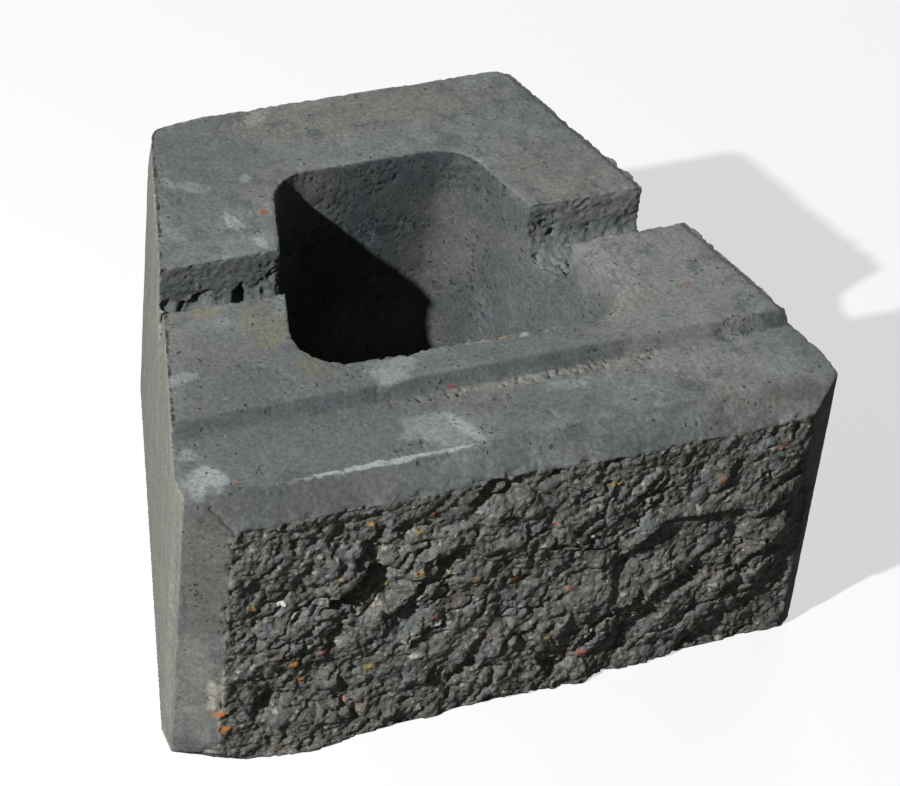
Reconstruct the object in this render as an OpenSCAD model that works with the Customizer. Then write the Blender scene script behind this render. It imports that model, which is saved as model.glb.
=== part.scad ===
// Segmental retaining wall block, cast as one piece of dense concrete with its bed up.
// The face is broken from a twin block and framed on three sides by moulded bevels.
// Sides run in towards the back so that blocks can be laid to a curve. One drafted core
// goes right through, and a U groove crosses the bed and the core from side to side.
// Lengths are in millimetres. +Z is up, the split face looks along -Y, and the origin
// is at the middle of the block's footprint, on the ground.

/* [Body] */
// Width of the front, across its two side lands
face_w = 400; // [340:5:460]
// Height from the ground to the top bed
block_h = 206; // [170:1:240]
// Depth of the block behind the front edge of its top
body_d = 323; // [290:1:360]
// Depth of the square land at each side of the face
land_d = 20; // [8:1:35]
// Angle at which each side runs in towards the back, in degrees
side_taper = 15; // [8:0.5:18]
// Radius of the two upright back corners
back_r = 12; // [4:1:20]

/* [Bevels] */
// How far the bevels carry the face forward of the top's front edge
bevel_out = 17; // [10:1:25]
// Width of each side bevel, seen from the front
bevel_side = 22; // [12:1:30]
// Drop of the top bevel, from the front edge to the split line
bevel_drop = 15; // [8:1:25]

/* [Split face] */
// Depth of the folds of the break, from their ridges to their hollows
relief = 6; // [2:0.5:12]
// Width of one facet of the break
facet = 12; // [10:1:24]
// How far the corners of the facets stand in or out from one another, at most
facet_relief = 3.5; // [0:0.5:6]
// How far the break steps back below each of its two ledges
ledge_drop = 5; // [0:0.5:7]
// Depth of the cleft on the left
cleft_depth = 6; // [0:0.5:8]
// How far the foot of the face stands proud on the left
foot_swell = 4; // [0:0.5:10]
// Length of the chip at the left foot, along the front
chip_w = 50; // [20:1:70]
// Height of that chip, at the split line
chip_h = 16; // [4:1:30]

/* [Front strip] */
// Depth of the low strip along the front edge of the top
strip_d = 50; // [30:1:60]
// How far the strip lies below the bed
strip_drop = 7.5; // [3:0.5:12]
// Front to back run of the sloped riser behind the strip
riser_run = 5; // [2:0.5:10]

/* [Cross groove] */
// Distance from the front edge of the top to the groove's near wall
groove_y = 147; // [135:1:160]
// Width of the groove
groove_w = 38.5; // [32:0.5:48]
// Depth of the groove below the bed
groove_depth = 37.5; // [25:0.5:50]
// Radius between the groove's walls and its floor
groove_r = 15; // [4:0.5:15]

/* [Core] */
// Wall in front of the core, from the front edge of the top, at the bed
front_wall = 77; // [66:1:90]
// Wall behind the core, at the bed
back_wall = 69; // [55:1:85]
// Wall at each side of the core, square to the block's side, at the bed
side_wall = 73; // [60:1:85]
// Radius of the core's upright corners at the bed
core_r = 30; // [15:1:38]
// How much thicker each wall of the core is at the ground
core_draft = 4; // [1:0.5:8]

/* [Hidden] */

// Cutting shapes run this far past the faces that they cut
past = 10;

// Front strip and the line where the top bevel ends
strip_z = block_h - strip_drop;
split_top = strip_z - bevel_drop;
// The mould's bevels run forward to here, and the break takes off what is in front
nose_y = -bevel_out - relief - facet_relief - foot_swell - past;

// Half width of the tapered side at a depth y behind the front edge
function side_x(y) = face_w / 2 - tan(side_taper) * (y - land_d);
// Half width between the bevels at a depth y, which is negative there
function bevel_x(y) = face_w / 2 + bevel_side * y / bevel_out;

// Half width between the two axes of a round of radius r, tangent to a line that lies
// a wall's thickness inside the tapered side, where the axes stand at a depth y
function axis_x(y, r, wall = 0) = side_x(y) - (wall + r) / cos(side_taper);

// The break. It follows the bevels' front line, steps back below two ledges towards its
// right foot, stands proud at its left foot, and is crossed by low folds that die out
// towards the moulded border. A ledge gives heights for places across the face, and the
// cleft gives places across for heights: places are shares of the half width, from the
// middle, and heights are shares of the block's.
upper_ledge = [[0, -0.15], [0.15, 0.24], [0.3, 0.47], [0.45, 0.58], [0.8, 0.55], [0.9, 0.72]];
lower_ledge = [[0.25, -0.15], [0.37, 0.19], [0.45, 0.31], [0.78, 0.43], [0.9, 0.6]];
cleft_line = [[0.43, -0.36], [0.57, -0.45], [0.77, -0.51]];
swell_x = -0.64 * face_w / 2;
swell_reach = face_w / 9;

function smooth(t) = let (s = max(0, min(1, t))) s * s * (3 - 2 * s);
function ledge(x, z, line) =
    ledge_drop * smooth((block_h * lookup(2 * x / face_w, line) - z) / facet + 0.5);
function cleft(x, z) =
    let (
        beside = x - face_w / 2 * lookup(z / block_h, cleft_line),
        foot_z = block_h * cleft_line[0][0],
        head_z = block_h * cleft_line[2][0]
    )
    cleft_depth * smooth(beside / facet + 0.5) * smooth(1 - beside / (2 * facet))
    * smooth((z - foot_z) / facet + 1) * smooth((head_z - z) / facet + 1);
function swell(x, z) =
    foot_swell * smooth(2 - 2 * abs(x - swell_x) / swell_reach) * smooth(1 - 4 * z / block_h);

// A fold is a row of ridges and hollows of that length, square to a direction in degrees
function wave(t) = abs(2 * (t - floor(t)) - 1);
function fold(x, z, heading, length) = wave((x * cos(heading) + z * sin(heading)) / length);
function calm(x, z) =
    0.3 + 0.7 * smooth(min(face_w / 2 - bevel_side - abs(x), split_top - z) / (3 * facet));
function folds(x, z) =
    let (sx = x + 1.2 * facet * sin(2.1 * z), sz = z + facet * sin(1.7 * x + 40))
    0.5 * fold(sx, sz, 115, 92) + 0.3 * fold(sx, sz, 68, 57) + 0.2 * fold(sz, sx, 20, 37);
function break_y(x, z) =
    -bevel_out
    + relief * calm(x, z) * (folds(x, z) - 0.5)
    + ledge(x, z, upper_ledge)
    + ledge(x, z, lower_ledge)
    + cleft(x, z)
    - swell(x, z);

// Facets of the break: columns and rows that reach past the block's face. Their corners
// stray from an even grid, as in broken stone, apart from those along the grid's edges and
// the ground. The first row stands upright below the ground.
columns = ceil((face_w + 2 * past) / facet);
rows = 1 + ceil((block_h + past) / facet);
stray = 0.28 * facet;
shake = rands(-1, 1, 3 * (columns + 1) * (rows + 1), 7);
function shaken(i, j, k) = shake[3 * (i * (rows + 1) + j) + k];
function facet_x(i, j) =
    (face_w + 2 * past) * (i / columns - 0.5) + (i > 0 && i < columns ? stray * shaken(i, j, 0) : 0);
function facet_z(i, j) =
    (block_h + past) * (j - 1) / (rows - 1) + (j > 1 && j < rows ? stray * shaken(i, j, 1) : 0);
function facet_point(i, j) =
    let (x = facet_x(i, max(1, j)), z = facet_z(i, max(1, j)))
    [x, break_y(x, z) + facet_relief / 2 * calm(x, z) * shaken(i, max(1, j), 2), j == 0 ? -past : z];

// Foremost point of the break, and the middle of the footprint, from the front edge
surface = [for (i = [0 : columns], j = [0 : rows]) facet_point(i, j)];
front_y = min([
    for (p = surface)
        if (abs(p.x) < face_w / 2 - bevel_side && p.z >= 0 && p.z < split_top) p.y
]);
mid_y = (front_y + body_d) / 2;

// What the break takes off: everything in front of the broken surface
module twin() {
    function at(i, j) = i * (rows + 1) + j;
    far_y = nose_y - 2 * past;
    corners = [
        for (i = [0, columns], j = [0, rows])
            let (p = facet_point(i, j)) [p.x, far_y, p.z]
    ];
    c = len(surface);
    facets = [
        for (i = [0 : columns - 1], j = [0 : rows - 1])
            each (i + j) % 2 == 0
                ? [[at(i, j), at(i, j + 1), at(i + 1, j + 1)], [at(i, j), at(i + 1, j + 1), at(i + 1, j)]]
                : [[at(i, j), at(i, j + 1), at(i + 1, j)], [at(i, j + 1), at(i + 1, j + 1), at(i + 1, j)]]
    ];
    left = concat([c + 1, c], [for (j = [0 : rows]) at(0, j)]);
    right = concat([c + 2, c + 3], [for (j = [rows : -1 : 0]) at(columns, j)]);
    under = concat([c, c + 2], [for (i = [columns : -1 : 0]) at(i, 0)]);
    over = concat([c + 3, c + 1], [for (i = [0 : columns]) at(i, rows)]);
    front = [c, c + 1, c + 3, c + 2];
    polyhedron(concat(surface, corners), concat(facets, [left, right, under, over, front]));
}

// The chip at the left foot: a wedge under the bevel, highest where the bevel meets the break
module chip() {
    left = -face_w / 2;
    outer = [left, 0, 0];
    inner = [left + chip_w, front_y, 0];
    top = [left + bevel_side, -bevel_out - foot_swell, chip_h];
    below = [left + bevel_side, nose_y, -past];
    polyhedron([outer, inner, top, below], [[0, 1, 2], [0, 3, 1], [1, 3, 2], [2, 3, 0]]);
}

// Outline of the moulded body, seen from above
module plan() {
    corner_y = body_d - back_r;
    corner_x = axis_x(corner_y, back_r);
    // Where the straight side meets the corner's round
    meet = [corner_x + back_r * cos(side_taper), corner_y + back_r * sin(side_taper)];
    half = [
        [bevel_x(nose_y), nose_y],
        [face_w / 2, 0],
        [face_w / 2, land_d],
        meet,
        [corner_x, body_d]
    ];
    polygon(concat(half, [for (i = [len(half) - 1 : -1 : 0]) [-half[i][0], half[i][1]]]));
    for (side = [-1, 1])
        translate([side * corner_x, corner_y]) circle(r = back_r, $fn = 48);
}

// Section of the mould from front to back: top bevel, strip, riser and bed
module section() {
    polygon([
        [nose_y - past, 0],
        [nose_y - past, strip_z + bevel_drop * (nose_y - past) / bevel_out],
        [0, strip_z],
        [strip_d, strip_z],
        [strip_d + riser_run, block_h],
        [body_d + past, block_h],
        [body_d + past, 0]
    ]);
}

// Section of the U groove
module groove_section() {
    floor_z = block_h - groove_depth;
    translate([groove_y, floor_z + groove_r]) square([groove_w, groove_depth + past]);
    translate([groove_y + groove_r, floor_z]) square([groove_w - 2 * groove_r, groove_depth]);
    for (y = [groove_y + groove_r, groove_y + groove_w - groove_r])
        translate([y, floor_z + groove_r]) circle(r = groove_r, $fn = 48);
}

// Carries a section across the block, from one side to the other and past both
module across() {
    reach = face_w + 2 * past;
    translate([-reach / 2, 0, 0]) rotate([90, 0, 90]) linear_extrude(reach) children();
}

// The core former: four drafted corner posts, wider at the bed than at the ground
module core() {
    front_post = front_wall + core_r;
    back_post = body_d - back_wall - core_r;
    slope = core_draft / block_h;
    hull()
        for (y = [front_post, back_post], side = [-1, 1])
            translate([side * axis_x(y, core_r, side_wall), y, -past])
                cylinder(
                    h = block_h + 2 * past,
                    r1 = core_r - core_draft - slope * past,
                    r2 = core_r + slope * past,
                    $fn = 64
                );
}

module block() {
    color("#6c6f6f")
    translate([0, -mid_y, 0])
    difference() {
        intersection() {
            translate([0, 0, -past]) linear_extrude(block_h + 2 * past) plan();
            across() section();
        }
        twin();
        chip();
        core();
        across() groove_section();
    }
}

block();
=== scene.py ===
# One charcoal concrete retaining wall block, standing on a pale floor.
# The solid gives its size and main shape; this file gives the skin of the concrete:
# the broken face, the ragged edges and groove, the pits, stones, dust and lime bloom.
import math

import bmesh
import bpy
import numpy as np
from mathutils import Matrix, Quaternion, Vector, kdtree, noise


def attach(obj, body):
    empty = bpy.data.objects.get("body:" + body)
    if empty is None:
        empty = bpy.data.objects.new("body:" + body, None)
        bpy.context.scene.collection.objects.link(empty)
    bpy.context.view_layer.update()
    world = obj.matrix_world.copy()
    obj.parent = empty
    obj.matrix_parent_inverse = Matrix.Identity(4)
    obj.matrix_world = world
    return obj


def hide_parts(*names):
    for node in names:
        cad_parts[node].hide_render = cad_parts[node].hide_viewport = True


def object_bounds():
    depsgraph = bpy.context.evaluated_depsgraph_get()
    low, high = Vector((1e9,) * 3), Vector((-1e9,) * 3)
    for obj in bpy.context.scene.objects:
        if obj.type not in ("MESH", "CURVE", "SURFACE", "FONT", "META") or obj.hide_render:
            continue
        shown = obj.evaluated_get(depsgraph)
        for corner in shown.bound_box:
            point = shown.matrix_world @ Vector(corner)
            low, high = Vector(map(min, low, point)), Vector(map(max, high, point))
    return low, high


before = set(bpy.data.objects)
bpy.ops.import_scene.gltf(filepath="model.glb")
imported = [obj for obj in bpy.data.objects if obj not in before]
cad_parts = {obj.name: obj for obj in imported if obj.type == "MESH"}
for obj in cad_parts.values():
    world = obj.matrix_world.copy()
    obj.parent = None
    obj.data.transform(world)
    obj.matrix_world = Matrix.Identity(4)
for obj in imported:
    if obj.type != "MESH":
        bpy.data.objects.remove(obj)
cad_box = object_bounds()
scene = bpy.context.scene
scene.view_settings.view_transform = "Standard"

# The block. Dry cast from a stiff, stony charcoal mix in a steel mould and stripped at once,
# so its moulded faces are close and finely pitted and its arrises crumble a little.
# Its front was then split from a twin block with a blade, right through the stones.
MM = 0.001
skin_mm = 1.0
most_triangles = 196000

# Sizes of the solid in mm: across from its middle, back from its top's front edge, and up
half_face, bed_z, strip_z = 200.0, 206.0, 198.5
body_depth, land_depth, taper = 323.0, 20.0, math.radians(15)
bevel_out, bevel_side, bevel_drop = 17.0, 22.0, 15.0
strip_depth, riser_run = 50.0, 5.0
groove_middle, groove_half, groove_floor, groove_round = 166.25, 19.25, 168.5, 15.0
core_front, core_back, core_round, core_draft = 107.0, 224.0, 30.0, 4.0
core_front_half, core_back_half = 70.06, 38.71
front_edge = np.array((0.0, cad_box[1].y - body_depth * MM, 0.0))


def settle(piece):
    """Turns a piece's live modifiers into plain mesh."""
    graph = bpy.context.evaluated_depsgraph_get()
    made = bpy.data.meshes.new_from_object(piece.evaluated_get(graph))
    piece.modifiers.clear()
    piece.data = made


def read(mesh, what):
    """Every vertex's place or normal, as rows of three."""
    rows = np.empty(len(mesh.vertices) * 3, np.float32)
    mesh.vertices.foreach_get(what, rows)
    return rows.reshape(-1, 3).astype(float)


def ramp(value, low, high):
    """0 up to low and 1 from high, with a soft start and end; low may be the larger."""
    t = np.clip((value - low) / (high - low), 0.0, 1.0)
    return t * t * (3.0 - 2.0 * t)


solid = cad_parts["block"].data.copy()
shell = bmesh.new()
shell.from_mesh(solid)
bmesh.ops.remove_doubles(shell, verts=shell.verts, dist=0.001 * MM)
shell.to_mesh(solid)
shell.free()
block = bpy.data.objects.new("concrete_block", solid)
scene.collection.objects.link(block)
skin = block.modifiers.new("skin", "REMESH")
skin.mode, skin.voxel_size = "VOXEL", skin_mm * MM
settle(block)
across, back, up = ((read(block.data, "co") - front_edge) / MM).T
facing = read(block.data, "normal")
out = np.abs(across)

# How far each point of the skin lies inside each moulded face, in mm
in_riser = (back - strip_depth) * (bed_z - strip_z) - (up - strip_z) * riser_run
in_riser /= math.hypot(riser_run, bed_z - strip_z)
in_top = np.where(back < strip_depth, strip_z - up, bed_z - up)
on_riser = np.abs(back - strip_depth - riser_run / 2) < riser_run / 2
in_top = np.where(on_riser, in_riser, in_top)
in_bevel = bevel_drop * back - bevel_out * (up - strip_z)
in_bevel /= math.hypot(bevel_out, bevel_drop)
in_side_bevel = (half_face - out) * bevel_out + bevel_side * back
in_side_bevel /= math.hypot(bevel_out, bevel_side)
in_side = (half_face - math.tan(taper) * (back - land_depth) - out) * math.cos(taper)
in_side = np.where(back > land_depth, in_side, half_face - out)
in_back = body_depth - back
off_groove = np.hypot(
    np.maximum(np.abs(back - groove_middle) - groove_half + groove_round, 0.0),
    np.maximum(groove_floor + groove_round - up, 0.0),
) - groove_round
core_run = core_back - core_front
core_lean = (core_front_half - core_back_half) / core_run
off_wall = (out - core_front_half + core_lean * (back - core_front)) / math.hypot(1.0, core_lean)
off_end = np.maximum(core_front - back, back - core_back)
run = (back - core_front) - core_lean * (out - core_front_half)
run = np.clip(run / (1 + core_lean**2), 0, core_run)
past_wall = np.hypot(out - core_front_half + core_lean * run, back - core_front - run)
end_half = np.where(back < core_front, core_front_half, core_back_half)
past_end = np.hypot(np.maximum(out - end_half, 0), off_end)
off_core = np.where(off_end > 0, np.minimum(past_wall, past_end), past_wall)
off_core = np.where((off_wall < 0) & (off_end < 0), np.maximum(off_wall, off_end), off_core)
off_core += core_draft * (1.0 - up / bed_z) - core_round

# Which face each point belongs to, being within so many mm of it, and how near it is to that
# face's edge
close, near_by = 0.8, 1.2
border = np.minimum.reduce([in_bevel, in_side_bevel, in_side])
broken = ramp(border, 0.4, 1.6) * (back < 6.0) * (facing[:, 1] < -0.3) * (up > 0.3)
underside = up < 0.6
in_core = (np.abs(off_core) < near_by) & (up < bed_z - close)
in_groove = (np.abs(off_groove) < near_by) & (up < bed_z - close)
outside = (np.minimum(in_side, in_back) < close) & (back > 0.5)
bevelled = (np.minimum(in_bevel, in_side_bevel) < close) & (back < 0.5)
moulded = (broken < 0.5) & ~underside
walls = [in_top, in_bevel, in_side_bevel, in_side, in_back, up, off_core, off_groove]
to_edge = np.partition(np.abs(walls), 1, axis=0)[1]
step = ramp(np.abs(back - strip_depth - riser_run / 2), 9.0, 2.0) * (up > strip_z - 3.0)

# Arrises round over a little as the block is stripped, less at the front than elsewhere; the
# right of the core's rim came out of the mould rounder still, and the solid's coarse facets
# ease into one another
front_arris, arris_share, step_share, facet_share = 0.04, 0.1, 0.03, 0.5
soft_rim = ramp(np.abs(off_core), 20.0, 10.0) * ramp(bed_z - up, 20.0, 10.0)
soft_rim *= ramp(across, 55.0, 85.0) * ramp(back, 150.0, 136.0)
arris = np.where(back < 12.0, front_arris, arris_share) * ramp(to_edge, 5.0, 2.0)
rounding = np.maximum.reduce([arris, step_share * step, soft_rim])
rounding *= moulded
eased = facet_share * ramp(border, 3.0, 10.0) * ramp(up, 3.0, 10.0)
rounding = np.where(broken > 0.5, eased, rounding)
group = block.vertex_groups.new(name="rounding")
for level in range(1, 101):
    chosen = np.flatnonzero(np.round(rounding * 100) == level)
    group.add(chosen.tolist(), level / 100, "REPLACE")
ease = block.modifiers.new("ease", "SMOOTH")
ease.factor, ease.iterations, ease.vertex_group = 0.5, 90, "rounding"
settle(block)
place = (read(block.data, "co") - front_edge) / MM
facing = read(block.data, "normal")


def clouds(points, size, octaves, seed):
    """Soft uneven noise about zero, its largest swells that many mm across."""
    spots = (points / size + seed).tolist()
    return np.array([noise.fractal(p, 1.0, 2.0, octaves) for p in spots])


def bubbles(points, size, share, seed):
    """Round spots that many mm apart, of which a share is kept: 1 in a spot's middle; and a
    number from 0 to 1 for each spot."""
    radius, scatter = 0.55, 37.0
    found = [noise.voronoi(p) for p in (points / size + seed).tolist()]
    near = np.array([spread[0] for spread, _ in found])
    own = np.array([noise.cell_vector(middles[0] * scatter) for _, middles in found])
    return np.clip(1.0 - (near / radius) ** 2, 0.0, 1.0) * (own[:, 0] < share), own[:, 1]


def chipped(points, size, lean, dome, seed):
    """Heights of angular chips that many mm across, about zero: each at its own level, leaning
    its own way and a little domed; and how far a point is from its chip's rim."""
    rows, scatter = [], 53.0
    for p in (points / size + seed).tolist():
        (near, second, *_), (middle, *_) = noise.voronoi(p)
        own = noise.cell_vector(middle * scatter)
        tilt = (p[0] - middle.x) * (own.y - 0.5) + (p[2] - middle.z) * (own.z - 0.5)
        rows.append((own.x - 0.5 + lean * tilt + dome * (0.3 - near * near), second - near))
    return np.array(rows).T


# How far each point of the moulded faces sinks, in mm: the faces are a little uneven
sunk = np.zeros(len(place))
seen = np.flatnonzero(moulded & ~(in_core & (up < 60.0)))
sunk[seen] += 0.2 * (0.9 + clouds(place[seen], 34.0, 4, 1.7))

# Crumbly patches where the stiff mix did not close against the mould
patch_size, patch_depth, patch_from = 30.0, 1.1, 0.3
patchy = clouds(place[seen], patch_size, 3, 6.4) + 0.22 * in_core[seen] * (back[seen] > 160.0)
crumbly = seen[patchy > patch_from]
crumbs, _ = chipped(place[crumbly], 2.6, 0.5, 0.6, 4.2)
patchy = ramp(patchy[patchy > patch_from], patch_from, 0.42) * ramp(to_edge[crumbly], 0.0, 3.0)
sunk[crumbly] += patch_depth * patchy * np.maximum(0.15 - crumbs, 0.0)

# Crumbled arrises, worst round the groove, the core's front rim and the bed's outer edges
edge = np.flatnonzero(moulded & (to_edge < 7.0))
spots = place[edge]
crumble = 0.7 + 0.6 * ramp(np.abs(off_groove[edge]), 6.0, 2.0)
crumble += 0.9 * ramp(np.abs(off_core[edge]), 6.0, 2.0) * ramp(back[edge], 112.0, 84.0)
crumble += 0.2 * ramp(in_side[edge], 6.0, 2.0) * ramp(up[edge], 190.0, 200.0)
crumble *= (1.0 - 0.75 * ramp(back[edge], 14.0, 2.0)) * (1.0 - soft_rim[edge])
chips = 1.1 * np.maximum(clouds(spots, 4.0, 3, 5.2) + 0.12, 0.0)
chips += 2.4 * np.maximum(clouds(spots, 17.0, 3, 9.4) - 0.24, 0.0)
sunk[edge] += crumble * chips * ramp(to_edge[edge], 5.0, 0.5)

# The bed sags towards the core's soft rim, and its left back corner is worn round
sunk += 2.4 * ramp(off_core, 18.0, 0.0) * soft_rim * (up > bed_z - 1.5)
corner = np.hypot(place[:, 0] + 122.0, place[:, 1] - body_depth) + 1.2 * (bed_z - place[:, 2])
sunk += 2.2 * ramp(corner, 44.0, 4.0) * moulded

# Crumbs pressed out along the right edge of the bed, and loose grit along the step's foot
for x, y in ((149, 216), (152, 200), (171, 135), (173, 122)):
    crumb = np.hypot(place[:, 0] - x, place[:, 1] - y) + 0.7 * np.abs(up - bed_z)
    near = np.flatnonzero(crumb < 8.0)
    sunk[near] -= 1.5 * ramp(crumb[near] + 3.0 * clouds(place[near], 5.0, 2, 2.9), 6.0, 2.0)
foot_back = strip_depth - 5.0
foot = np.flatnonzero((np.abs(back - foot_back) < 6.0) & (up > 195.0) & moulded)
grit, _ = chipped(place[foot], 3.0, 0.4, 1.6, 7.3)
grit = np.where(grit > 0.15, grit - 0.15, 1.8 * np.minimum(grit + 0.1, 0.0))
grit *= ramp(np.abs(back[foot] - foot_back), 5.0, 2.0)
grit *= ramp(clouds(place[foot], 22.0, 2, 3.8), -0.35, 0.0)
sunk[foot] -= 1.4 * grit * ramp(across[foot], -80.0, -40.0) * ramp(across[foot], 160.0, 110.0)

# The bevels' inner edges, where the break tore small flakes off them
tear = kdtree.KDTree(int((broken > 0.5).sum()))
for i in np.flatnonzero(broken > 0.5):
    tear.insert(place[i], i)
tear.balance()
lip = np.flatnonzero(bevelled & moulded)
to_tear = np.array([tear.find(q)[2] for q in place[lip]])
spots = place[lip]
flake = np.maximum(clouds(spots, 11.0, 3, 6.3) + 0.02, 0.0) * 4.5
flake += np.maximum(clouds(spots, 3.5, 2, 1.1), 0.0) * 1.6
sunk[lip] += flake * ramp(to_tear, 1.0 + 4.0 * np.clip(flake, 0.0, 1.5), 0.3)

# A split along the mitre of the left bevels
start, end = np.array((-187.5, -3.8, 195.1)), np.array((-174.5, -16.8, 183.7))
spots = place[lip] + 0.8 * clouds(place[lip], 5.0, 2, 3.3)[:, None]
along = np.clip((spots - start) @ (end - start) / ((end - start) @ (end - start)), 0.0, 1.0)
from_split = np.linalg.norm(spots - start - along[:, None] * (end - start), axis=1)
split_depth = 2.2
sunk[lip] += split_depth * ramp(from_split, 1.8, 0.3) * (0.35 + 0.65 * along)

# Rough groove: dragged open while the mix was green, so close at the top and torn below,
# with one three-cornered hole and a torn foot at the left
rough = np.flatnonzero(in_groove)
spots = place[rough] + 0.8 * clouds(place[rough], 9.0, 2, 3.7)[:, None]
inner = ramp(np.abs(off_core[rough]), 30.0, 6.0)
torn = ramp(up[rough] - 14.0 * inner + 14.0 * clouds(place[rough], 22.0, 3, 6.6), 186.0, 177.0)
lump, _ = chipped(spots, 6.0, 0.5, 1.3, 2.6)
crumbs, _ = chipped(spots, 2.7, 0.3, 1.8, 8.1)
depth = torn * (0.6 - 0.9 * lump) - (0.45 + 0.3 * torn) * crumbs
depth += torn * 2.6 * bubbles(spots, 6.5, 0.2, 8.3)[0]
low = ramp(up[rough] + 9.0 * clouds(place[rough], 12.0, 3, 4.6), 183.0, 177.0)
far = back[rough] > groove_middle
foot_depth, hole_depth, hole_left, hole_right, hole_foot = 3.5, 9.0, -111.0, -97.0, 171.0
depth += foot_depth * low * far * ramp(across[rough], -122.0, -134.0)
hole_x = place[rough, 0] + 1.5 * clouds(place[rough], 6.0, 2, 1.9)
hole_z = place[rough, 2] - hole_foot
left_edge = (hole_x - hole_left) * 0.9 - hole_z * 0.4
right_edge = (hole_right - hole_x) * 0.9 - hole_z * 0.45
hole = np.minimum(left_edge, right_edge)
depth += hole_depth * far * ramp(np.minimum(hole, hole_z + 2.0), -0.5, 1.5)
sunk[rough] += depth

# The break's grain, standing out of the solid's coarse facets: slabs and stones, rounded
# granules of mortar and grit, here and there a smooth pebble or a small pit; sizes and
# heights in mm
slab_size, stone_size, granule_size, grit_size = 24.0, 11.0, 4.4, 2.3
slab_height, stone_height, granule_height, grit_height = 2.4, 1.2, 0.85, 0.6
pebble_size, pebble_height, pit_size, pit_depth = 11.0, 1.2, 9.0, 2.2
face = np.flatnonzero(broken > 0.0)
face_x, face_z = place[face, 0], place[face, 2]
grains = place[face] * (1.0, 0.5, 1.0)
spots = grains.copy()
spots[:, 0] += 5.0 * clouds(grains, 18.0, 3, 11.3)
spots[:, 2] += 5.0 * clouds(grains, 18.0, 3, 4.9)
calm = ramp(border[face], 1.0, 24.0)
rugged = 0.4 + 0.6 * ramp(clouds(spots, 44.0, 2, 5.6), -0.2, 0.25)
rugged *= 1.0 - 0.45 * ramp(face_x, 20.0, 80.0)
slab, slab_rim = chipped(spots, slab_size, 1.6, 0.0, 3.3)
stone, stone_rim = chipped(spots, stone_size, 1.0, 1.0, 7.1)
granule, _ = chipped(grains, granule_size, 0.8, 1.2, 9.9)
grit, _ = chipped(grains, grit_size, 0.5, 1.5, 1.9)
pebble, pebble_pick = bubbles(grains, pebble_size, 0.1, 4.4)
stand = slab_height * slab - 0.4 * ramp(slab_rim, 0.08, 0.0)
stand *= (0.3 + 0.7 * calm) * (0.4 + 0.6 * rugged)
stand += rugged * (stone_height * stone - 0.2 * ramp(stone_rim, 0.12, 0.0))
stand += (0.5 + 1.0 * calm) * clouds(spots, 22.0, 5, 3.1)

# Gashes between the stones, most of them running up to the right
gash_size, gash_depth = 24.0, 2.6
slant = np.array(((0.32, 0.0, -0.7), (0.0, 0.0, 0.0), (0.32, 0.0, 0.7)))
gash = ramp(np.abs(clouds(spots @ slant, gash_size, 3, 2.2)), 0.08, 0.0)
stand -= gash_depth * gash * calm * ramp(clouds(spots, 50.0, 2, 7.7), -0.05, 0.2)

# Mortar that fills much of the solid's two ledges and fades towards the foot and the border:
# places across and heights are shares of the half width and the height, as in the solid
facet, ledge_fill = 12.0, 4.5
upper_ledge = [(0, -0.15), (0.15, 0.24), (0.3, 0.47), (0.45, 0.58), (0.8, 0.55), (0.9, 0.72)]
lower_ledge = [(0.25, -0.15), (0.37, 0.19), (0.45, 0.31), (0.78, 0.43), (0.9, 0.6)]
fill = np.zeros(len(face))
for line in (upper_ledge, lower_ledge):
    places, heights = np.array(line).T * [[half_face], [bed_z]]
    below = np.interp(face_x, places, heights) - face_z
    climb = np.interp(face_x, places, np.gradient(heights, places))
    past = ramp(below / np.hypot(1.0, climb), -facet, facet)
    below /= np.hypot(1.0, climb * ramp(face_x, 140.0, 100.0))
    fill += ledge_fill * past * ramp(below, 75.0, 40.0) * ramp(border[face], 1.0, 12.0)

# The smooth shelf that broke off under the upper ledge: its edge across and up in mm
shelf_drop = 5.2
shelf_edge = [(64, 90), (71, 101), (83, 115), (92, 122), (104, 124), (121, 124), (150, 119)]
below = np.interp(face_x, *np.array(shelf_edge).T) - face_z
shelf = ramp(face_x, 60.0, 70.0) * ramp(face_x, 154.0, 140.0)
stand *= 1.0 - 0.85 * shelf * ramp(np.abs(below - 8.0), 26.0, 14.0)
edge_run = below + 1.5 * clouds(spots, 14.0, 3, 8.8)
stand += fill - shelf_drop * shelf * ramp(edge_run, -0.8, 0.8) * ramp(below, 50.0, 16.0)
fine = granule_height * granule + grit_height * grit
stand += fine * (1.0 - 0.8 * ramp(pebble, 0.0, 0.3))
stand += pebble_height * np.sqrt(pebble) - 0.5
stand -= pit_depth * bubbles(spots, pit_size, 0.2, 5.5)[0]

# Hollows where a stone or a piece of mortar came away, steep on the side towards the upper
# left: place across and up, half length, reach and depth in mm
hollows = [
    (-91, 139, 12, 12, 5.0), (-90, 110, 19, 32, 11.0), (-71, 159, 7, 9, 3.5),
    (-41, 126, 11, 15, 5.5), (-22, 171, 14, 16, 5.5), (-6, 173, 12, 16, 5.5),
    (-145, 40, 12, 15, 5.0), (-102, 23, 9, 11, 4.0), (-50, 68, 12, 14, 5.0),
    (-26, 34, 14, 14, 5.5), (80, 54, 12, 18, 6.0), (119, 67, 16, 12, 5.0),
    (162, 72, 20, 14, 5.5), (82, 148, 10, 8, 3.0), (55, 183, 12, 6, 2.5),
    (168, 114, 10, 12, 3.5), (15, 52, 9, 10, 3.5), (172, 135, 10, 8, 3.0),
    (18, 180, 9, 8, 3.0), (-150, 150, 9, 7, 2.5), (-128, 92, 10, 7, 2.5),
    (-86, 155, 10, 10, 4.0), (21, 72, 8, 8, 3.0), (-107, 82, 12, 10, 3.5),
    (-60, 140, 8, 8, 3.0),
]
run_right, run_down = 0.746, 0.667
fray = 6.0 * clouds(spots, 13.0, 4, 6.8)
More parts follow.
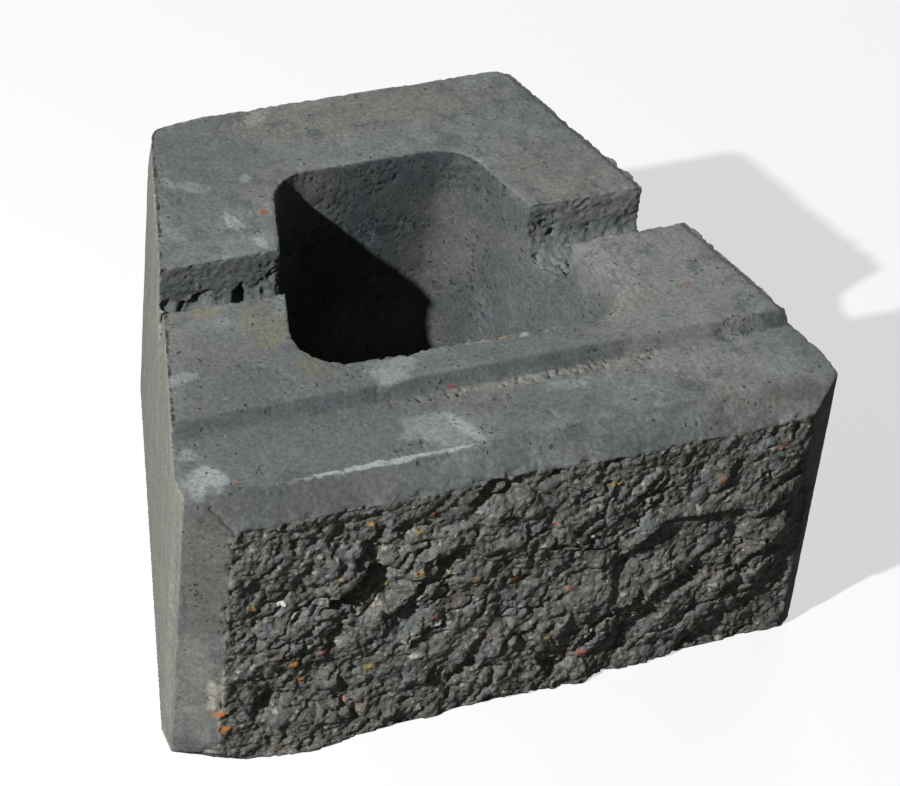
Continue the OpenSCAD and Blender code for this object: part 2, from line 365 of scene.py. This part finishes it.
for x, z, long, reach, deep in hollows:
    right, rise = face_x - x, face_z - z
    along = np.abs(run_down * right + run_right * rise + fray) / long
    away = run_right * right - run_down * rise + reach / 2 + fray
    bowl = deep * ramp(along, 1.1, 0.6) * ramp(away, -1.2, 0.6)
    stand -= bowl * np.clip(1.0 - away / reach, 0.0, 1.0)

# The foot's swell leaves room for the grain inside the solid's box
swell_middle, swell_room = -128.0, 2.0
swell = ramp(np.abs(face_x - swell_middle), 44.0, 22.0) * ramp(face_z, 50.0, 0.0)
stand -= swell_room * swell

# Stones of other colours that the break laid bare: across, up, radius in mm and colour
tan, white, red, salmon = "#a08c5e", "#c8c6bc", "#744238", "#9a7062"
orange, brown, yellow, pale = "#a06e44", "#80563c", "#9c8c5a", "#96938c"
bare_stones = [
    (-160, 120, 4.5, tan), (-144, 118, 2.5, white), (-179, 135, 3.0, red),
    (-118, 74, 4.0, salmon), (-134, 70, 4.0, orange), (-129, 54, 3.5, orange),
    (-177, 40, 5.0, orange), (-174, 28, 5.5, orange), (-101, 29, 3.0, salmon),
    (-87, 54, 4.0, yellow), (-94, 167, 3.0, tan), (-56, 165, 3.5, red),
    (-64, 153, 3.0, tan), (-62, 124, 4.0, tan), (-81, 113, 3.0, yellow),
    (-47, 83, 4.0, salmon), (-59, 56, 5.0, white), (1, 99, 4.5, brown),
    (-27, 108, 3.0, brown), (56, 161, 4.0, tan), (125, 149, 3.0, orange),
    (66, 99, 3.0, yellow), (101, 84, 6.0, pale), (36, 83, 3.0, salmon),
    (51, 25, 5.0, salmon), (-170, 90, 2.0, pale), (20, 140, 2.5, salmon),
    (88, 60, 2.0, white), (140, 40, 2.5, pale), (-20, 60, 2.5, pale),
    (-110, 130, 2.0, tan), (160, 165, 3.0, salmon), (24, 48, 2.0, yellow),
]
stone_paint = np.zeros((len(place), 4), np.float32)


def linear(code):
    """A colour written as sRGB hex, as the linear values that a shader takes."""
    parts = [int(code[i : i + 2], 16) / 255.0 for i in (1, 3, 5)]
    return [p / 12.92 if p <= 0.04045 else ((p + 0.055) / 1.055) ** 2.4 for p in parts] + [1.0]


stone_squat, stone_proud, faintest = 1.5, 0.9, 0.02
for x, z, radius, code in bare_stones:
    reach = np.hypot(place[:, 0] - x, stone_squat * (place[:, 2] - z))
    near = np.flatnonzero((reach < 12.0) & ((broken > 0.0) | bevelled))
    wavy = reach[near] + 0.9 * clouds(place[near], 4.0, 2, radius)
    cover = ramp(wavy, 0.9 * radius + 0.6, 0.9 * radius - 0.5)
    hit = near[cover > faintest]
    stone_paint[hit, :3] = linear(code)[:3]
    stone_paint[near, 3] = np.maximum(stone_paint[near, 3], cover)
    stand += stone_proud * ramp(reach[face], radius + 1.0, 0.0)

# The smooth pebbles are grey, brown or bluish, under a film of mortar
pebble_share = 0.45
plain = (pebble > faintest) & (stone_paint[face, 3] < faintest)
for start, code in ((0.0, "#6a6f71"), (0.3, "#6c655a"), (0.5, "#5a5f60"), (0.75, "#7a776f")):
    stone_paint[face[plain & (pebble_pick >= start)], :3] = linear(code)[:3]
stone_paint[face[plain], 3] = pebble_share * np.minimum(1.0, 6.0 * pebble[plain])

# A pale, crumbly line where the break meets the left bevel, whitest low down
whitest = 54.0
bleached = ramp(np.abs(up - whitest), 26.0, 10.0)
ragged_lip = to_tear + 1.6 * clouds(place[lip], 6.0, 3, 2.2)
cover = ramp(ragged_lip, 3.0 + 3.5 * bleached[lip], 0.4) * (0.6 + 0.4 * bleached[lip])
cover *= ramp(across[lip], -168.0, -176.0) * ramp(up[lip], 186.0, 170.0)
hit = lip[(cover > faintest) & (stone_paint[lip, 3] < cover)]
stone_paint[lip, 3] = np.maximum(stone_paint[lip, 3], cover)
stone_paint[hit, :3] = linear("#b3aea0")[:3]

moved = place - facing * sunk[:, None]
moved[face, 1] -= stand * broken[face]

# Nothing stands out of the solid's box
moved = np.clip(
    moved, (np.array(cad_box[0]) - front_edge) / MM, (np.array(cad_box[1]) - front_edge) / MM
)
block.data.vertices.foreach_set("co", (moved * MM + front_edge).astype(np.float32).ravel())
# Painted shade: the walls of the core, its back wall most, and the left of the groove are darkened
# in colour, as shade falls in them; the same zone gets more pinholes and less mottling
back_wall = ramp(off_end - off_wall, -95.0, 15.0) * (back > core_front + 40.0) * in_core
masks = {
    "broken": broken,
    "rubbed": outside,
    "bevelled": bevelled,
    "recess_shade_and_pits": 0.5 * in_core + 0.5 * back_wall + np.where(across < 0, 0.5, 0.05) * in_groove,
}
for name, mask in masks.items():
    values = block.data.attributes.new(name, "FLOAT", "POINT").data
    values.foreach_set("value", mask.astype(np.float32))
paint = block.data.attributes.new("stone_paint", "FLOAT_COLOR", "POINT").data
paint.foreach_set("color", stone_paint.ravel())
block.data.update()
thin = block.modifiers.new("thin", "DECIMATE")
thin.ratio = most_triangles / (2.0 * len(block.data.polygons))
settle(block)
kept_in = np.clip(read(block.data, "co"), cad_box[0], cad_box[1])
block.data.vertices.foreach_set("co", kept_in.astype(np.float32).ravel())
block.data.shade_smooth()

# Dry cast charcoal concrete: a matt, sandy grey that dries in blotches, darker where the
# mould pressed it smooth, paler and browner where it dragged along the mould's sides, and
# dark with damp stone and grit where it broke
concrete = bpy.data.materials.new("dry_cast_charcoal_concrete")
concrete.use_nodes = True
tree = concrete.node_tree
tree.nodes.clear()


def node(kind, inputs, **settings):
    """Adds a node with its settings to the tree in hand, and links or sets its inputs."""
    made = tree.nodes.new("ShaderNode" + kind)
    for name, value in settings.items():
        setattr(made, name, value)
    for name, value in inputs.items():
        if isinstance(value, bpy.types.NodeSocket):
            tree.links.new(value, made.inputs[name])
        else:
            made.inputs[name].default_value = value
    return made.outputs


where = node("TexCoord", {})["Object"]
zone = {name: node("Attribute", {}, attribute_name=name)["Fac"] for name in masks}
MIX = {"data_type": "RGBA"}
SOFT = {"interpolation_type": "SMOOTHSTEP"}


def shaken(size, detail, far):
    """The block's places pushed about by noise of that size, that far, both in mm."""
    push = node("TexNoise", {"Vector": where, "Scale": 1 / (size * MM), "Detail": detail})["Color"]
    push = node("VectorMath", {0: push, 1: (0.5, 0.5, 0.5)}, operation="SUBTRACT")[0]
    push = node("VectorMath", {0: push, "Scale": far * MM}, operation="SCALE")[0]
    return node("VectorMath", {0: where, 1: push}, operation="ADD")[0]


# Places pushed about, a little or far, so that no hole or patch has a clean outline
uneven = shaken(5, 2.0, 5)
ragged = shaken(22, 4.0, 24)

# Greys of the moulded faces
grey = linear("#6e7270")
grey = node("Mix", {0: zone["bevelled"], 6: grey, 7: linear("#636665")}, **MIX)[2]
# Painted shade darkens the core's walls and the groove's left end
grey = node("Mix", {0: zone["recess_shade_and_pits"], 6: grey, 7: linear("#44484a")}, **MIX)[2]

# Blotches and smaller clouds, as the mix dried unevenly, less so in the core and the groove
blotch_mm, cloud_mm = 90, 16
blotch = node("TexNoise", {"Vector": where, "Scale": 1 / (blotch_mm * MM), "Detail": 3.0})[0]
warm = node("MapRange", {0: blotch, 1: 0.45, 2: 0.68, 3: 0.0, 4: 0.5}, **SOFT)[0]
grey = node("Mix", {0: warm, 6: grey, 7: linear("#72716b")}, **MIX)[2]
cool = node("MapRange", {0: blotch, 1: 0.30, 2: 0.48, 3: 0.45, 4: 0.0}, **SOFT)[0]
grey = node("Mix", {0: cool, 6: grey, 7: linear("#5e6467")}, **MIX)[2]
cloud = node(
    "TexNoise", {"Vector": where, "Scale": 1 / (cloud_mm * MM), "Detail": 6.0, "Roughness": 0.72}
)[0]
open_air = node("MapRange", {0: zone["recess_shade_and_pits"], 1: 0.0, 2: 0.5, 3: 1.0, 4: 0.4})[0]
dark = node("MapRange", {0: cloud, 1: 0.34, 2: 0.52, 3: 0.55, 4: 0.0}, **SOFT)[0]
dark = node("Math", {0: dark, 1: open_air}, operation="MULTIPLY")[0]
grey = node("Mix", {0: dark, 6: grey, 7: linear("#4c5052")}, **MIX)[2]
light = node("MapRange", {0: cloud, 1: 0.5, 2: 0.66, 3: 0.0, 4: 0.5}, **SOFT)[0]
light = node("Math", {0: light, 1: open_air}, operation="MULTIPLY")[0]
grey = node("Mix", {0: light, 6: grey, 7: linear("#828686")}, **MIX)[2]

# Faint streaks across the top, along the way the mould was struck off
streak_mm = 5
struck = node("Mapping", {"Vector": where, "Scale": (0.12, 1.0, 1.0)})[0]
streak = node("TexNoise", {"Vector": struck, "Scale": 1 / (streak_mm * MM), "Detail": 3.0})[0]
streak = node("MapRange", {0: streak, 1: 0.35, 2: 0.65, 3: 0.42, 4: 0.58})[0]
grey = node("Mix", {0: 0.12, 6: grey, 7: streak}, blend_type="OVERLAY", **MIX)[2]

# Painted shade: the riser darkened evenly all across, as a face in shade
riser = {"Vector": where, "Location": Vector((0.0, 51.5, 202.0)) * MM + Vector(front_edge)}
riser["Scale"] = (4.0, 6.0 * MM, 9.0 * MM)
riser = node("Mapping", riser, vector_type="TEXTURE")[0]
painted_riser_shade = node("TexGradient", {"Vector": riser}, gradient_type="SPHERICAL")["Fac"]
painted_riser_shade = node("MapRange", {0: painted_riser_shade, 1: 0.0, 2: 0.5, 3: 0.0, 4: 0.6}, **SOFT)[0]
grey = node("Mix", {0: painted_riser_shade, 6: grey, 7: linear("#404446")}, **MIX)[2]

# Marks in mm, most of them of weather and handling, and two dark lines of painted shade along the
# bed's
# side edges: place across, back and up, half length, width and height, turn, colour and share
bloom, smooth, olive, arris_shade = "#a2a8a9", "#54585a", "#6f6b58", "#383a39"
side_turn = 90.0 - math.degrees(taper)
marks = [
    (-120, 40, 203, 120, 80, 30, 0, smooth, 0.6),
    (-110, 285, 206, 70, 70, 30, 0, smooth, 0.45),
    (-150, -10, 190, 80, 26, 14, 0, "#4c4f4d", 0.6),
    (-190, -8, 150, 24, 24, 70, 0, "#575853", 0.6),
    (-190, -8, 56, 24, 24, 60, 0, "#7f7f78", 0.45),
    (-182, -14, 54, 5, 6, 16, 0, "#b5b0a4", 0.8),
    (-150, 95, 206, 45, 45, 8, 0, smooth, 0.4),
    (30, 66, 206, 100, 18, 8, 0, "#585c5c", 0.5),
    (15, 20, 198.5, 70, 26, 8, 0, "#5c6060", 0.45),
    (130, 110, 204, 90, 130, 30, 0, "#7f817e", 0.5),
    (36, 44, 199, 90, 4.5, 5, 1, "#85827a", 0.45),
    # Painted shade: a dark line along the left side's top arris, for the shadows of its crumbs
    (-160, 169, 206, 4000, 3.6, 4, side_turn, arris_shade, 1.0),
    (-17, 252, 179, 7, 4, 6, 0, "#16181a", 0.45),
    (15, 252, 150, 9, 4, 7, 0, "#16181a", 0.45),
    (56, 250, 100, 8, 4, 6, 0, "#16181a", 0.45),
    # Painted shadow: a thin dark line just inside the bed's right edge
    (158.5, 163, 206, 4000, 1.8, 4, -side_turn, arris_shade, 0.6),
    (-112, 124, 206, 17, 36, 8, 0, olive, 0.5),
    (-100, 90, 206, 15, 34, 8, 25, olive, 0.45),
    (-142, 141, 206, 11, 6, 6, 0, "#857860", 0.5),
    (20, 300, 206, 130, 28, 8, 0, "#77726a", 0.4),
    (108, 205, 206, 50, 64, 8, 0, "#77736c", 0.4),
    (100, 84, 205, 28, 10, 8, 10, "#7f786d", 0.5),
    (-185, 9, 198.5, 18, 16, 8, 20, bloom, 0.55),
    (-186, 35, 198.5, 9, 8, 6, 0, bloom, 0.4),
    (-45, 19, 198.5, 31, 20, 8, -8, bloom, 0.3),
    (-28, 13, 198.5, 22, 5, 6, -63, bloom, 0.45),
    (-82, -0.2, 198.5, 70, 2.3, 4, 0, "#acb2b2", 0.65),
    (-57, 63, 206, 24, 13, 8, 10, bloom, 0.38),
    (-116, 258, 206, 20, 8, 6, -42, bloom, 0.28),
    (-94, 210, 206, 32, 7, 6, -68, bloom, 0.48),
    (-79, 256, 206, 8, 5, 6, 0, bloom, 0.3),
    (-57, 315, 206, 19, 12, 8, 0, "#9a948e", 0.45),
    (40, 34, 198.5, 22, 6, 6, 0, bloom, 0.25),
    (-176, 89, 206, 18, 6, 6, 8, bloom, 0.3),
    (4, 75, 205, 11, 3, 6, 0, "#8b7a74", 0.5),
    (19, 75, 205, 5, 2.6, 6, 0, "#8f7e5a", 0.6),
    (30, 74, 205, 5, 3, 6, 0, "#a8aaa6", 0.6),
    (114, 147, 206, 15, 2.5, 6, 0, "#9a8882", 0.55),
    (-78, 222, 206, 3.4, 2.3, 4, 10, "#8a5a3c", 0.9),
    (155, -5, 197, 5.0, 2.8, 4, -20, "#8f6450", 0.85),
    (-149, 184, 206, 4, 2.4, 4, 30, "#7a5640", 0.7),
    (-24, 50, 199, 2.4, 1.8, 4, 0, "#80393c", 0.9),
    (141, 91, 206, 9, 2.4, 4, 6, "#805f60", 0.55),
    (-166, 7, 198, 2.4, 1.5, 4, 0, "#80644f", 0.55),
]
patchy = node("MapRange", {0: cloud, 1: 0.36, 2: 0.64, 3: 0.2, 4: 1.8})[0]
for x, y, z, long, wide, high, turn, code, share in marks:
    spot = {
        "Vector": ragged if min(wide, long) > 6 else uneven,
        "Location": Vector((x, y, z)) * MM + Vector(front_edge),
        "Rotation": (0.0, 0.0, math.radians(turn)),
        "Scale": Vector((long, wide, high)) * MM,
    }
    spot = node("Mapping", spot, vector_type="TEXTURE")[0]
    fade = node("TexGradient", {"Vector": spot}, gradient_type="SPHERICAL")["Fac"]
    fade = node("Math", {0: fade, 1: patchy}, operation="MULTIPLY")[0]
    fade = node("MapRange", {0: fade, 1: 0.04, 2: 0.55, 3: 0.0, 4: share}, **SOFT)[0]
    grey = node("Mix", {0: fade, 6: grey, 7: linear(code)}, **MIX)[2]

# Sand, under 1 mm and so too fine for the render, drawn coarser
sand_mm = 2.6
sand = node(
    "TexNoise", {"Vector": where, "Scale": 1 / (sand_mm * MM), "Detail": 2.0, "Roughness": 0.6}
)[0]
fleck = node("MapRange", {0: sand, 1: 0.28, 2: 0.72, 3: 0.28, 4: 0.72})[0]
grey = node("Mix", {0: 0.55, 6: grey, 7: fleck}, blend_type="OVERLAY", **MIX)[2]

# Pinholes where air stayed against the mould, this far apart and open mostly in clusters; and
# pale grains of sand
pinhole_mm, cluster_mm = 3.2, 30
hole = node("TexVoronoi", {"Vector": uneven, "Scale": 1 / (pinhole_mm * MM)})
pick = node("SeparateColor", {"Color": hole["Color"]})
cluster = node("TexNoise", {"Vector": where, "Scale": 1 / (cluster_mm * MM), "Detail": 2.0})[0]
cluster = node("MapRange", {0: cluster, 1: 0.44, 2: 0.62, 3: 0.35, 4: 1.0}, **SOFT)[0]
cluster = node("Math", {0: zone["recess_shade_and_pits"], 1: 0.45, 2: cluster}, operation="MULTIPLY_ADD")[0]
reach = node("MapRange", {0: pick["Red"], 1: 0.5, 2: 1.0, 3: 0.0, 4: 0.38}, **SOFT)[0]
reach = node("Math", {0: reach, 1: cluster}, operation="MULTIPLY")[0]
hollow = node("Math", {0: hole["Distance"], 1: reach}, operation="SUBTRACT")[0]
pinhole = node("MapRange", {0: hollow, 1: -0.12, 2: 0.02, 3: 1.0, 4: 0.0}, **SOFT)[0]
pinhole = node("Mix", {0: zone["broken"], 2: pinhole, 3: 0.0}, data_type="FLOAT")[0]
# Painted shade: the pinholes are darkened in colour for the shade inside them
share = node("Math", {0: pinhole, 1: 0.65}, operation="MULTIPLY")[0]
grey = node("Mix", {0: share, 6: grey, 7: linear("#323537")}, **MIX)[2]
grain = node("Math", {0: pick["Green"], 1: hole["Distance"]}, operation="SUBTRACT")[0]
grain = node("MapRange", {0: grain, 1: 0.72, 2: 0.85, 3: 0.0, 4: 0.5}, **SOFT)[0]
grey = node("Mix", {0: grain, 6: grey, 7: linear("#959894")}, **MIX)[2]

# Sides dragged against the mould: paler, browner and faintly lined up and down
line_mm = 6
drag = node("Mapping", {"Vector": where, "Scale": (1.0, 1.0, 0.03)})[0]
drawn = node("TexNoise", {"Vector": drag, "Scale": 1 / (line_mm * MM), "Detail": 3.0})[0]
lined = node("MapRange", {0: drawn, 1: 0.35, 2: 0.65, 3: 0.0, 4: 1.0}, **SOFT)[0]
side = node("Mix", {0: lined, 6: linear("#7f7e77"), 7: linear("#888780")}, **MIX)[2]
side = node("Mix", {0: 0.5, 6: side, 7: fleck}, blend_type="OVERLAY", **MIX)[2]
side = node("Mix", {0: dark, 6: side, 7: linear("#6a6a65")}, **MIX)[2]
grey = node("Mix", {0: zone["rubbed"], 6: grey, 7: side}, **MIX)[2]

# The break: every crumb of mortar its own grey, and some stones bluer, browner or paler
crumb_mm, stone_mm = 2.4, 8
cells = node("TexVoronoi", {"Vector": uneven, "Scale": 1 / (crumb_mm * MM)})
crumb = node("SeparateColor", {"Color": cells["Color"]})
raw = node("Mix", {0: crumb["Red"], 6: linear("#535450"), 7: linear("#787872")}, **MIX)[2]
tint = node("TexVoronoi", {"Vector": uneven, "Scale": 1 / (stone_mm * MM)})["Color"]
tint = node("SeparateColor", {"Color": tint})
share = node("MapRange", {0: tint["Red"], 1: 0.62, 2: 1.0, 3: 0.0, 4: 0.55}, **SOFT)[0]
raw = node("Mix", {0: share, 6: raw, 7: linear("#737a7c")}, **MIX)[2]
share = node("MapRange", {0: tint["Green"], 1: 0.7, 2: 0.95, 3: 0.0, 4: 0.4}, **SOFT)[0]
raw = node("Mix", {0: share, 6: raw, 7: linear("#6b6152")}, **MIX)[2]
share = node("MapRange", {0: crumb["Green"], 1: 0.9, 2: 0.97, 3: 0.0, 4: 0.7}, **SOFT)[0]
raw = node("Mix", {0: share, 6: raw, 7: linear("#a4a196")}, **MIX)[2]
raw = node("Mix", {0: 0.65, 6: raw, 7: fleck}, blend_type="OVERLAY", **MIX)[2]
colour = node("Mix", {0: zone["broken"], 6: grey, 7: raw}, **MIX)[2]
bare = node("Attribute", {}, attribute_name="stone_paint")
colour = node("Mix", {0: bare["Alpha"], 6: colour, 7: bare["Color"]}, **MIX)[2]

# Relief too fine for the mesh: sand and pinholes on the moulded faces, grit on the break
relief_mm = 0.5
rise = node("MapRange", {0: zone["broken"], 1: 0.0, 2: 1.0, 3: 0.8, 4: 1.6})[0]
grain = node("Math", {0: sand, 1: rise}, operation="MULTIPLY")[0]
round_off = node("Math", {0: cells["Distance"], 1: zone["broken"]}, operation="MULTIPLY")[0]
round_off = node("Math", {0: round_off, 1: 0.5}, operation="MULTIPLY")[0]
grain = node("Math", {0: grain, 1: round_off}, operation="SUBTRACT")[0]
dip = node("Math", {0: pinhole, 1: 1.6}, operation="MULTIPLY")[0]
relief = node("Math", {0: grain, 1: dip}, operation="SUBTRACT")[0]
bump = node("Bump", {"Strength": 1.0, "Distance": relief_mm * MM, "Height": relief})[0]
finish = {"Base Color": colour, "Roughness": 0.95, "Specular IOR Level": 0.1, "Normal": bump}
node("OutputMaterial", {"Surface": node("BsdfPrincipled", finish)["BSDF"]})
block.data.materials.clear()
block.data.materials.append(concrete)
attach(block, "root")
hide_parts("block")

# The floor: a plain pale studio sweep that shows white and takes a soft shadow.
floor_mesh = bpy.data.meshes.new("floor")
sheet = bmesh.new()
bmesh.ops.create_grid(sheet, x_segments=1, y_segments=1, size=6.0)
sheet.to_mesh(floor_mesh)
sheet.free()
floor = bpy.data.objects.new("floor", floor_mesh)
scene.collection.objects.link(floor)
paper = bpy.data.materials.new("white_paper")
paper.use_nodes = True
tree = paper.node_tree
tree.nodes.clear()


def seen_straight():
    """1 for what the camera sees, straight or by way of a gloss or a clear piece, else 0."""
    path = node("LightPath", {})
    seen = node("Math", {0: path["Is Camera Ray"], 1: path["Is Glossy Ray"]}, operation="MAXIMUM")[0]
    return node("Math", {0: seen, 1: path["Is Transmission Ray"]}, operation="MAXIMUM")[0]


seen = seen_straight()
shade = node("Mix", {0: seen, 6: linear("#5a5a5a"), 7: linear("#f4f4f4")}, **MIX)[2]
matt = node("BsdfDiffuse", {"Color": shade})["BSDF"]
bright = node("Emission", {"Color": linear("#ffffff"), "Strength": 1.0})["Emission"]
own_light = 0.6
share = node("Math", {0: seen, 1: own_light}, operation="MULTIPLY")[0]
node("OutputMaterial", {"Surface": node("MixShader", {0: share, 1: matt, 2: bright})[0]})
floor_mesh.materials.append(paper)

# Studio light: one key from high on the left, a weak broad lamp behind on the right that
# the camera's side of the block doesn't see, and an even fill from all round.
# For each lamp: the way its light travels, its distance and width in metres, and its level
fill_level, key_level_on_top, key_fall = 0.055, 0.93, 0.633
lamps = [
    ("key", (0.708, 0.312, -key_fall), 3.0, 0.08, key_level_on_top / key_fall),
    ("back_fill", (-0.60, -0.75, -0.28), 3.0, 2.0, 0.45),
]
lit_point = Vector((0.0, 0.0, 0.1))
for name, travel, reach, size, level in lamps:
    lamp = bpy.data.lights.new(name, "AREA")
    lamp.shape, lamp.size = "DISK", size
    lamp.energy = level * (math.pi * reach) ** 2
    holder = bpy.data.objects.new(name, lamp)
    travel = Vector(travel).normalized()
    holder.location = lit_point - travel * reach
    holder.rotation_mode = "QUATERNION"
    holder.rotation_quaternion = travel.to_track_quat("-Z", "Y")
    scene.collection.objects.link(holder)
world = bpy.data.worlds.new("studio")
scene.world = world
world.use_nodes = True
tree = world.node_tree
tree.nodes.clear()
level = node("Mix", {0: seen_straight(), 2: fill_level, 3: 1.0}, data_type="FLOAT")[0]
sky = node("Background", {"Color": linear("#ffffff"), "Strength": level})
node("OutputWorld", {"Surface": sky[0]})

# The camera: from the left of the face and above, a long lens, held a little askew.
camera = bpy.data.cameras.new("camera")
camera.sensor_width, camera.lens = 36.0, 137.81
viewer = bpy.data.objects.new("camera", camera)
viewer.location = (-0.66501, front_edge[1] - 1.30286, 1.47226)
aim = Vector((0.32561, 0.68712, -0.6495))
askew = Quaternion((0.0, 0.0, 1.0), math.radians(6.37))
viewer.rotation_mode = "QUATERNION"
viewer.rotation_quaternion = aim.to_track_quat("-Z", "Y") @ askew
scene.collection.objects.link(viewer)
scene.camera = viewer
